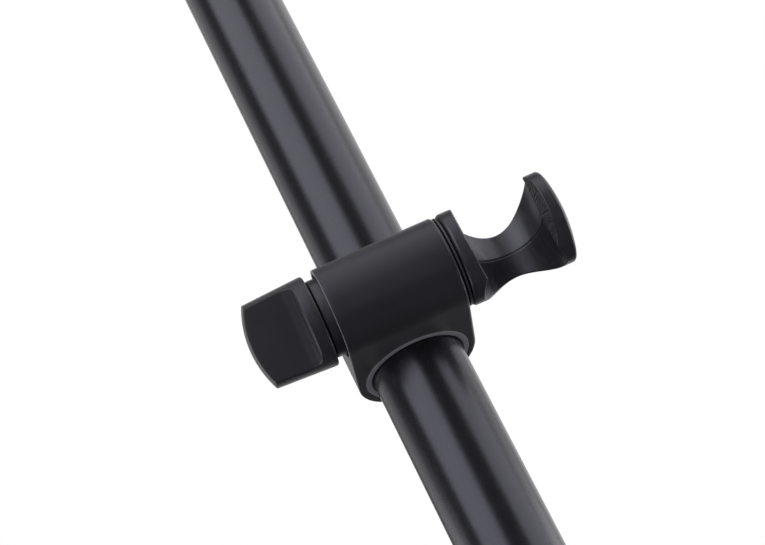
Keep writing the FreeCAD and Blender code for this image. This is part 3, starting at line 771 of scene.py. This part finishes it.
def knob_surface(s):
    """Rows from the tip to the back: a dome over a scaled section, a rounding that rolls between
    dome and side, the blade, the hollow run-out of each flat, the step, the ring and the back."""
    back_x, tip_x = KNOB_HIGH[0], KNOB_LOW[0]
    half, slope = s["blade"] / 2, math.tan(s["taper"])
    wall_x = back_x - s["ring"]
    hollow_x = wall_x - s["hollow"]
    dome_x = tip_x + s["dome"]

    def radius_at(x):
        return s["base"] / 2 - (back_x - x) * slope

    roll_x = np.full((1, 1), tip_x + FIRST_ROLL)
    for _ in range(4):
        point, normal = section_rows(radius_at(roll_x), half, s["side"])
        centre = point - s["rim"] * normal
        out = np.linalg.norm(centre, axis=-1)
        roll_x = dome_x - np.sqrt((s["dome"] - s["rim"]) ** 2 - out ** 2)
    centre3 = np.concatenate([roll_x[..., None], centre], -1)[0]
    side3 = np.concatenate([np.zeros((normal.shape[1], 1)), normal[0]], -1)
    away = centre3 - np.array([dome_x, 0, 0])
    away /= np.linalg.norm(away, axis=-1, keepdims=True)
    rolled = centre3 + s["rim"] * turned(away, side3, 6)
    shrink = np.linspace(0, 1, 25)[:-1, None, None]
    cap = rolled[0, :, 1:] * shrink
    cap = np.concatenate([dome_x - np.sqrt(s["dome"] ** 2 - (cap ** 2).sum(-1))[..., None], cap], -1)

    share = np.linspace(0, 1, 13)[1:, None]
    blade_x = roll_x + (hollow_x - roll_x) * share
    bend = np.linspace(0, math.pi / 2, 15)[1:, None]
    run_x = hollow_x + s["hollow"] * np.sin(bend) + 0 * roll_x
    run_half = half + s["hollow"] * (1 - np.cos(bend)) + 0 * roll_x
    all_x = np.concatenate([blade_x, run_x])
    all_half = np.concatenate([np.full_like(blade_x, half), run_half])
    blade, _ = section_rows(radius_at(all_x), all_half, s["side"])
    blade = np.concatenate([all_x[..., None], blade], -1)

    foot = blade[-1, :, 1:]
    reach = np.linalg.norm(foot, axis=-1)
    way = foot / reach[:, None]
    full = radius_at(wall_x)
    step = np.minimum(s["step"], (full - reach) * LEDGE_SHARE)
    bend = np.linspace(0, math.pi / 2, 7)[:, None]
    step_x = wall_x + step * (1 - np.cos(bend))
    step_r = full - step + step * np.sin(bend)
    ledge = np.concatenate([step_x[..., None], way * step_r[..., None]], -1)

    recess_r, recess_x = KNOB_RECESS[0], back_x - KNOB_RECESS[1]
    hole_r, hole_x = KNOB_HOLE[0], back_x - KNOB_HOLE[1]
    core = rounded([(back_x - s["ring"] / 2, radius_at(back_x - s["ring"] / 2), 0),
                    (back_x, s["base"] / 2, s["back"]), (back_x, recess_r, SOFT), (recess_x, recess_r, CRISP),
                    (recess_x, hole_r, CRISP), (hole_x, hole_r, CRISP), (hole_x, 0, 0)], 5)
    rear = np.concatenate([np.broadcast_to(core[:, :1, None], (len(core), len(way), 1)),
                           core[:, 1:, None] * way], -1)
    return np.concatenate([cap, rolled, blade, ledge, rear])


def section_rows(radius, half, corner):
    """Points and normals round a circle cut by two flats, each corner an arc that touches both. A
    quarter is flat, corner, side, and its mirror images make the rest. The radius may differ from
    point to point, as where the tapered side meets a dome."""
    radius = np.asarray(radius, float)
    half = np.broadcast_to(np.asarray(half, float), radius.shape)
    total = 4 * sum(SECTION) + 1
    radius = np.broadcast_to(radius, (radius.shape[0], total))
    half = np.broadcast_to(half, (half.shape[0], total))
    flat, edge, side = (np.linspace(0, 1, number + 1) for number in SECTION)
    kind = np.concatenate([np.zeros(len(flat)), np.ones(len(edge) - 1), np.full(len(side) - 1, 2)])
    share = np.concatenate([flat, edge[1:], side[1:]])
    kind = np.concatenate([kind, kind[-2::-1]])
    share = np.concatenate([share, share[-2::-1]])
    sign_n = np.where(np.arange(len(kind)) <= sum(SECTION), 1, -1)
    kind, share = np.concatenate([kind, kind[-2::-1]]), np.concatenate([share, share[-2::-1]])
    sign_m = np.where(np.arange(len(kind)) <= 2 * sum(SECTION), 1, -1)
    sign_n = np.concatenate([sign_n, sign_n[-2::-1]])
    centre_n = half - corner
    centre_m = np.sqrt((radius - corner) ** 2 - centre_n ** 2)
    bend = np.arctan2(centre_m, centre_n)
    angle = np.where(kind == 0, 0, np.where(kind == 1, share * bend, bend + share * (math.pi / 2 - bend)))
    n, m = np.cos(angle), np.sin(angle)
    point_n = np.where(kind == 0, half, np.where(kind == 1, centre_n + corner * n, radius * n))
    point_m = np.where(kind == 0, share * centre_m, np.where(kind == 1, centre_m + corner * m, radius * m))
    return (np.stack([point_n * sign_n, point_m * sign_m], -1), np.stack([n * sign_n, m * sign_m], -1))


class MakeCradle(bpy.types.Operator):
    """Cradle: a round bar with a domed end, and a cup sunk through it that is open in front"""
    bl_idname = "slide_rail.cradle"
    bl_label = "Cradle"

    def execute(self, context):
        s = sizes(context.scene.slide_rail_cradle)
        moulded, trimmed = finish_for("black_moulding"), finish_for("trimmed_moulding")
        grids = [(grid, trimmed if rough else moulded) for grid, rough in cradle_surface(s)]
        build("cup_cradle", grids, "cradle", ["cradle"])
        return {"FINISHED"}


def cup_wall(s, z, grow):
    """One side of the cup and mouth at height z, seen from above, from the front to the middle of
    the back: a straight side face, a rounding, then the cup's circle. The line is moved into the
    material by grow. It returns distances right of the cup's middle, y, and both parts of the
    normal that points into the cup. The last axis is the place along the line."""
    mouth_steps, corner_steps, cup_steps = CUP
    share = np.concatenate([1 - np.cos(np.linspace(0, math.pi / 2, mouth_steps + 1)),
                            np.linspace(0, 1, corner_steps + 1)[1:], np.linspace(0, 1, cup_steps + 1)[1:]])
    kind = np.concatenate([np.zeros(mouth_steps + 1), np.ones(corner_steps), np.full(cup_steps, 2)])
    up, down = np.clip(z / s["lead"], 0, 1), np.clip(-z / (s["diameter"] / 2), 0, 1)
    line = s["line"] * np.exp(-(z / LINE_WIDTH) ** 2)
    radius = (s["throat"] + (s["top"] - s["throat"]) * up + (s["foot"] - s["throat"]) * down) / 2 + line
    middle = -s["forward"] + s["foot_back"] * down
    lean = s["mouth_lead"]
    into = np.array([math.cos(lean), math.sin(lean)])
    ahead = np.array([math.sin(lean), -math.cos(lean)])
    face = math.cos(lean) * (s["mouth"] / 2 - s["mouth_depth"] * math.tan(lean))
    corner = s["corner"]
    far = -middle * math.cos(lean) + np.sqrt((radius + corner) ** 2
                                             - (face + corner - middle * math.sin(lean)) ** 2)
    knee = np.stack([(face + corner) * into[0] + far * ahead[0], (face + corner) * into[1] + far * ahead[1]])
    near = ((face + s["edge"]) * math.sin(lean) + s["diameter"] / 2 - s["edge"]) / math.cos(lean)
    reach = near + (far - near) * share
    cup_start = np.arctan2(knee[1] - middle, knee[0])
    swing = cup_start + (math.pi / 2 - cup_start) * share
    turn = np.where(kind == 0, lean, np.where(kind == 1, lean + (cup_start - lean) * share, swing))
    out_x, out_y = np.cos(turn), np.sin(turn)
    x = np.where(kind == 0, (face + grow) * into[0] + reach * ahead[0],
                 np.where(kind == 1, knee[0] - (corner - grow) * out_x, (radius + grow) * out_x))
    y = np.where(kind == 0, (face + grow) * into[1] + reach * ahead[1],
                 np.where(kind == 1, knee[1] - (corner - grow) * out_y, middle + (radius + grow) * out_y))
    return x, y, -out_x, -out_y


def cradle_surface(s):
    """A ball as large as the edge's rounding rolls inside both the wall of the cup and the outside of
    the bar. Its centre, the points where it touches them and the arc between those give the edge. The
    wall spans between the lower and upper touching points, and the outside goes on to both ends."""
    bar_r, edge = s["diameter"] / 2, s["edge"]
    middle_x = s["flange_at"] + s["wall"] + s["throat"] / 2
    ball_r = bar_r - edge
    lines = {}
    for side in (1, -1):
        z = np.full(sum(CUP) + 1, side * 1.0)
        for _ in range(ROLLS):
            x, y, normal_x, normal_y = cup_wall(s, z, edge)
            z = side * np.sqrt(np.maximum(ball_r ** 2 - y ** 2, 0))
        centre = np.stack([x, y, z], -1)
        inward = np.stack([normal_x, normal_y, 0 * z], -1)
        outward = np.stack([0 * z, y, z], -1) / ball_r
        lines[side] = centre + edge * turned(inward, outward, 5)
        lines[side, "height"] = z

    # Rows of the wall stand close together at the parting line.
    fine = np.array([0, 0.003, 0.006, 0.010, 0.015, 0.022, 0.035])
    rise = np.concatenate([fine, np.linspace(0.06, 1, 22)])[:, None]
    grids = []
    for mirror in (1, -1):
        flip = np.array([mirror, 1, 1])
        for side in (1, -1):
            height = lines[side, "height"] * rise
            x, y, _, _ = cup_wall(s, height, 0.0)
            wall = np.stack([x, y, height], -1) * flip
            grids.append((wall[:, :CUP[0] + 1], True))
            grids.append((wall[:, CUP[0]:], False))
            grids.append((lines[side] * flip, False))

    rim = s["rim"]
    upper, lower = lines[1][-1], lines[-1][-1]
    start = np.arctan2(upper[-1, 2], -upper[-1, 1])
    end = 2 * math.pi + np.arctan2(lower[-1, 2], -lower[-1, 1])
    around = np.linspace(start, end, 41)[1:-1]
    bridge = np.stack([0 * around, -bar_r * np.cos(around), bar_r * np.sin(around)], -1)
    loop = np.vstack([upper, bridge, lower[::-1]])
    angles = np.arctan2(-loop[:, 1], loop[:, 2])

    def outside(direction, profile):
        """From the loop to one end of the bar, then round that end's profile."""
        ring = np.stack([np.broadcast_to(profile[:, :1], (len(profile), len(loop))),
                         -profile[:, 1:] * np.sin(angles), profile[:, 1:] * np.cos(angles)], -1)
        start_line = loop * np.array([direction, 1, 1])
        return np.concatenate([between(start_line[None], ring[:1], 16)[:-1], ring])

    dome, tip = s["dome"], CRADLE_HIGH[0] - middle_x
    bend = math.asin((bar_r - rim) / (dome - rim))
    dome_x = tip - dome
    turn = arc((dome_x + (dome - rim) * math.cos(bend), bar_r - rim), rim, math.pi / 2, bend, 8)
    slope = np.linspace(bend, 0, 26)[1:]
    crown = np.stack([dome_x + dome * np.cos(slope), dome * np.sin(slope)], -1)
    grids.append((outside(1, np.vstack([turn, crown])), False))

    left, hub_r, hub_x = s["flange_at"] - middle_x, s["hub"] / 2, CRADLE_LOW[0] - middle_x
    groove_right = SEAL_HIGH[0] - middle_x + SEAL_SLACK
    groove_left = SEAL_LOW[0] - middle_x - SEAL_SLACK
    floor_r = hub_r - s["groove"]
    stem = rounded([(left + rim * 2, bar_r, 0), (left, bar_r, rim), (left, hub_r, HUB_CORNER),
                    (groove_right, hub_r, CRISP), (groove_right, floor_r, CRISP),
                    (groove_left, floor_r, CRISP), (groove_left, hub_r, CRISP),
                    (hub_x, hub_r, SOFT), (hub_x, 0, 0)], 6)
    grids.append((outside(-1, stem), False))
    place = BARREL_AT + np.array([middle_x, 0, 0])
    return [(grid + place, rough) for grid, rough in grids]


class FinishFittings(bpy.types.Operator):
    """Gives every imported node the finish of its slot"""
    bl_idname = "slide_rail.fittings"
    bl_label = "Fittings"

    def execute(self, context):
        for row in frame["record"]["subparts"]:
            mesh = frame["nodes"][row["node"]].data
            finish = finish_for(row["material_slot"])
            if len(mesh.materials) == 0:
                mesh.materials.append(finish)
            for k in range(len(mesh.materials)):
                mesh.materials[k] = finish
        return {"FINISHED"}


# ---------------------------------------------------------------- stage
# Soft panels: name, azimuth and elevation in degrees, distance, width and height in metres, watts.
PANELS = (
    ("front_left_panel", -35, 28, 1.6, 1.6, 1.8, 24),
    ("front_right_panel", 62, 28, 1.6, 1.4, 1.8, 17),
    ("far_right_panel", 106, 28, 1.6, 0.9, 1.8, 5.5),
    ("far_left_panel", -128, 28, 1.6, 1.1, 1.8, 4.5),
    ("back_panel", 160, 25, 1.8, 2.2, 2.2, 16),
    ("top_panel", 0, 74, 1.6, 1.6, 0.9, 5),
    ("low_left_panel", -110, -12, 0.9, 0.7, 0.8, 5.5),
    ("low_right_panel", 105, -12, 0.9, 0.7, 0.8, 6.0),
    ("low_front_panel", -12, -24, 0.9, 0.7, 0.4, 0.6),
    ("low_panel", 10, -75, 0.9, 1.5, 0.8, 0.7),
)
FLOOR_REACH, FLOOR_LEVEL = 30.0, -0.32                  # metres
LENS, CAMERA_DISTANCE = 99.47, 0.53409                  # millimetres, metres
CAMERA_AZIMUTH, CAMERA_RISE, CAMERA_ROLL = (math.radians(angle) for angle in (6.65, 27.998, -26.97))
CAMERA_AIM = (-0.025, -2.22, 4.153)                     # millimetres from the slider's middle


def panel_light(name, azimuth, elevation, distance, width, height, power, aim):
    """A soft rectangular light that faces the slider. Azimuth 0 is in front, and 90 is on the right."""
    turn, lift = math.radians(azimuth), math.radians(elevation)
    way = Vector((math.sin(turn) * math.cos(lift), -math.cos(turn) * math.cos(lift), math.sin(lift)))
    light = bpy.data.lights.new(name, "AREA")
    light.shape = "RECTANGLE"
    light.size, light.size_y, light.energy = width, height, power
    lamp = bpy.data.objects.new(name, light)
    lamp.location = aim + way * distance
    lamp.rotation_mode = "QUATERNION"
    lamp.rotation_quaternion = way.to_track_quat("Z", "Y")
    lamp.visible_camera = False
    bpy.context.scene.collection.objects.link(lamp)
    return lamp


class MakeStage(bpy.types.Operator):
    """Stage: a pale floor, soft panels, a plain white surround and the camera"""
    bl_idname = "slide_rail.stage"
    bl_label = "Stage"

    def execute(self, context):
        scene = context.scene
        aim = Vector((BARREL_AT * MM).tolist())
        floor = self.floor()
        self.surround(scene)
        scene.view_settings.view_transform = "Standard"
        lamps = [panel_light(*panel, aim) for panel in PANELS]
        self.light_floor(floor, lamps)
        self.camera(scene, aim)
        return {"FINISHED"}

    def floor(self):
        """A pale floor, seen by the camera but left out of the object's reflections and shadows."""
        reach, level = FLOOR_REACH, FLOOR_LEVEL
        mesh = bpy.data.meshes.new("floor")
        mesh.from_pydata([(-reach, -reach, level), (reach, -reach, level), (reach, reach, level),
                          (-reach, reach, level)], [], [(0, 1, 2, 3)])
        material, tree, shader, place = surface("pale_matt_paint", 0.8, ior=1.45)
        cloud = add(tree, "ShaderNodeTexNoise", {"Vector": place, "Scale": per_metre(60), "Detail": 3.0})
        wire(tree, shader, mixed(tree, cloud.outputs["Fac"], linear("#ececec"), linear("#f0f0f0")))
        mesh.materials.append(material)
        floor = bpy.data.objects.new("floor", mesh)
        floor.visible_diffuse = False
        floor.visible_glossy = False
        floor.visible_shadow = False
        bpy.context.scene.collection.objects.link(floor)
        return floor

    def light_floor(self, floor, lamps):
        """A broad lamp of its own lights the floor evenly, and the panels leave it out."""
        only, without = (bpy.data.collections.new(name) for name in ("floor_only", "all_but_floor"))
        for group, state in ((only, "INCLUDE"), (without, "EXCLUDE")):
            group.objects.link(floor)
            group.collection_objects[0].light_linking.link_state = state
        sun = bpy.data.lights.new("floor_lamp", "SUN")
        sun.energy, sun.angle = 3.6, math.radians(40)
        lamp = bpy.data.objects.new("floor_lamp", sun)
        bpy.context.scene.collection.objects.link(lamp)
        lamp.light_linking.receiver_collection = only
        for panel in lamps:
            panel.light_linking.receiver_collection = without

    def surround(self, scene):
        """Plain white to the camera, and a weak cool fill to everything else."""
        world = bpy.data.worlds.new("plain_surround")
        world.use_nodes = True
        tree = world.node_tree
        tree.nodes.clear()
        seen = add(tree, "ShaderNodeBackground", {"Color": (1.0, 1.0, 1.0, 1.0), "Strength": 1.0})
        fill = add(tree, "ShaderNodeBackground", {"Color": (0.93, 0.95, 1.0, 1.0), "Strength": 0.1})
        path = add(tree, "ShaderNodeLightPath")
        both = add(tree, "ShaderNodeMixShader", {0: path.outputs["Is Camera Ray"], 1: fill.outputs[0],
                                                 2: seen.outputs[0]})
        add(tree, "ShaderNodeOutputWorld", {"Surface": both.outputs[0]})
        scene.world = world

    def camera(self, scene, aim):
        """Looks up at the slider from below and a little to the left, with the head tilted."""
        azimuth, rise, roll = CAMERA_AZIMUTH, CAMERA_RISE, CAMERA_ROLL
        ahead = Vector((math.sin(azimuth) * math.cos(rise), math.cos(azimuth) * math.cos(rise),
                        math.sin(rise)))
        target = aim + Vector(CAMERA_AIM) * MM
        right = ahead.cross(Vector((0, 0, 1))).normalized()
        up = right.cross(ahead)
        tilted = right * math.cos(roll) + up * math.sin(roll)
        turn = Matrix((tilted, tilted.cross(ahead), -ahead)).transposed()
        data = bpy.data.cameras.new("camera")
        data.lens = LENS
        data.sensor_width = 36.0
        data.clip_start = 0.01
        camera = bpy.data.objects.new("camera", data)
        camera.matrix_world = Matrix.Translation(target - ahead * CAMERA_DISTANCE) @ turn.to_4x4()
        scene.collection.objects.link(camera)
        scene.camera = camera


class SlideRailPanel(bpy.types.Panel):
    bl_idname = "VIEW3D_PT_slide_rail"
    bl_label = "Slide rail"
    bl_space_type = "VIEW_3D"
    bl_region_type = "UI"
    bl_category = "Slide rail"

    def draw(self, context):
        layout = self.layout
        for operator in OPERATORS:
            layout.operator(operator.bl_idname)
        for name in GROUPS:
            group = getattr(context.scene, name)
            column = layout.column()
            for key in group.__annotations__:
                column.prop(group, key)


OPERATORS = (MakeTube, MakeCaps, MakeGlideRings, MakeBody, MakeBush, MakeKnob, MakeCradle, FinishFittings,
             MakeStage)
GROUPS = {"slide_rail_tube": TubeSizes, "slide_rail_body": BodySizes, "slide_rail_knob": KnobSizes,
          "slide_rail_cradle": CradleSizes, "slide_rail_colours": Colours}


def register():
    for kind in SIZES + OPERATORS + (SlideRailPanel,):
        bpy.utils.register_class(kind)
    for name, kind in GROUPS.items():
        setattr(bpy.types.Scene, name, PointerProperty(type=kind))


def unregister():
    for name in GROUPS:
        delattr(bpy.types.Scene, name)
    for kind in reversed(SIZES + OPERATORS + (SlideRailPanel,)):
        bpy.utils.unregister_class(kind)


def main():
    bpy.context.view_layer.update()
    register()
    bpy.ops.slide_rail.fittings()
    bpy.ops.slide_rail.tube()
    bpy.ops.slide_rail.end_caps()
    bpy.ops.slide_rail.glide_rings()
    bpy.ops.slide_rail.body()
    bpy.ops.slide_rail.bush()
    bpy.ops.slide_rail.knob()
    bpy.ops.slide_rail.cradle()
    bpy.ops.slide_rail.stage()


if __name__ == "__main__":
    main()
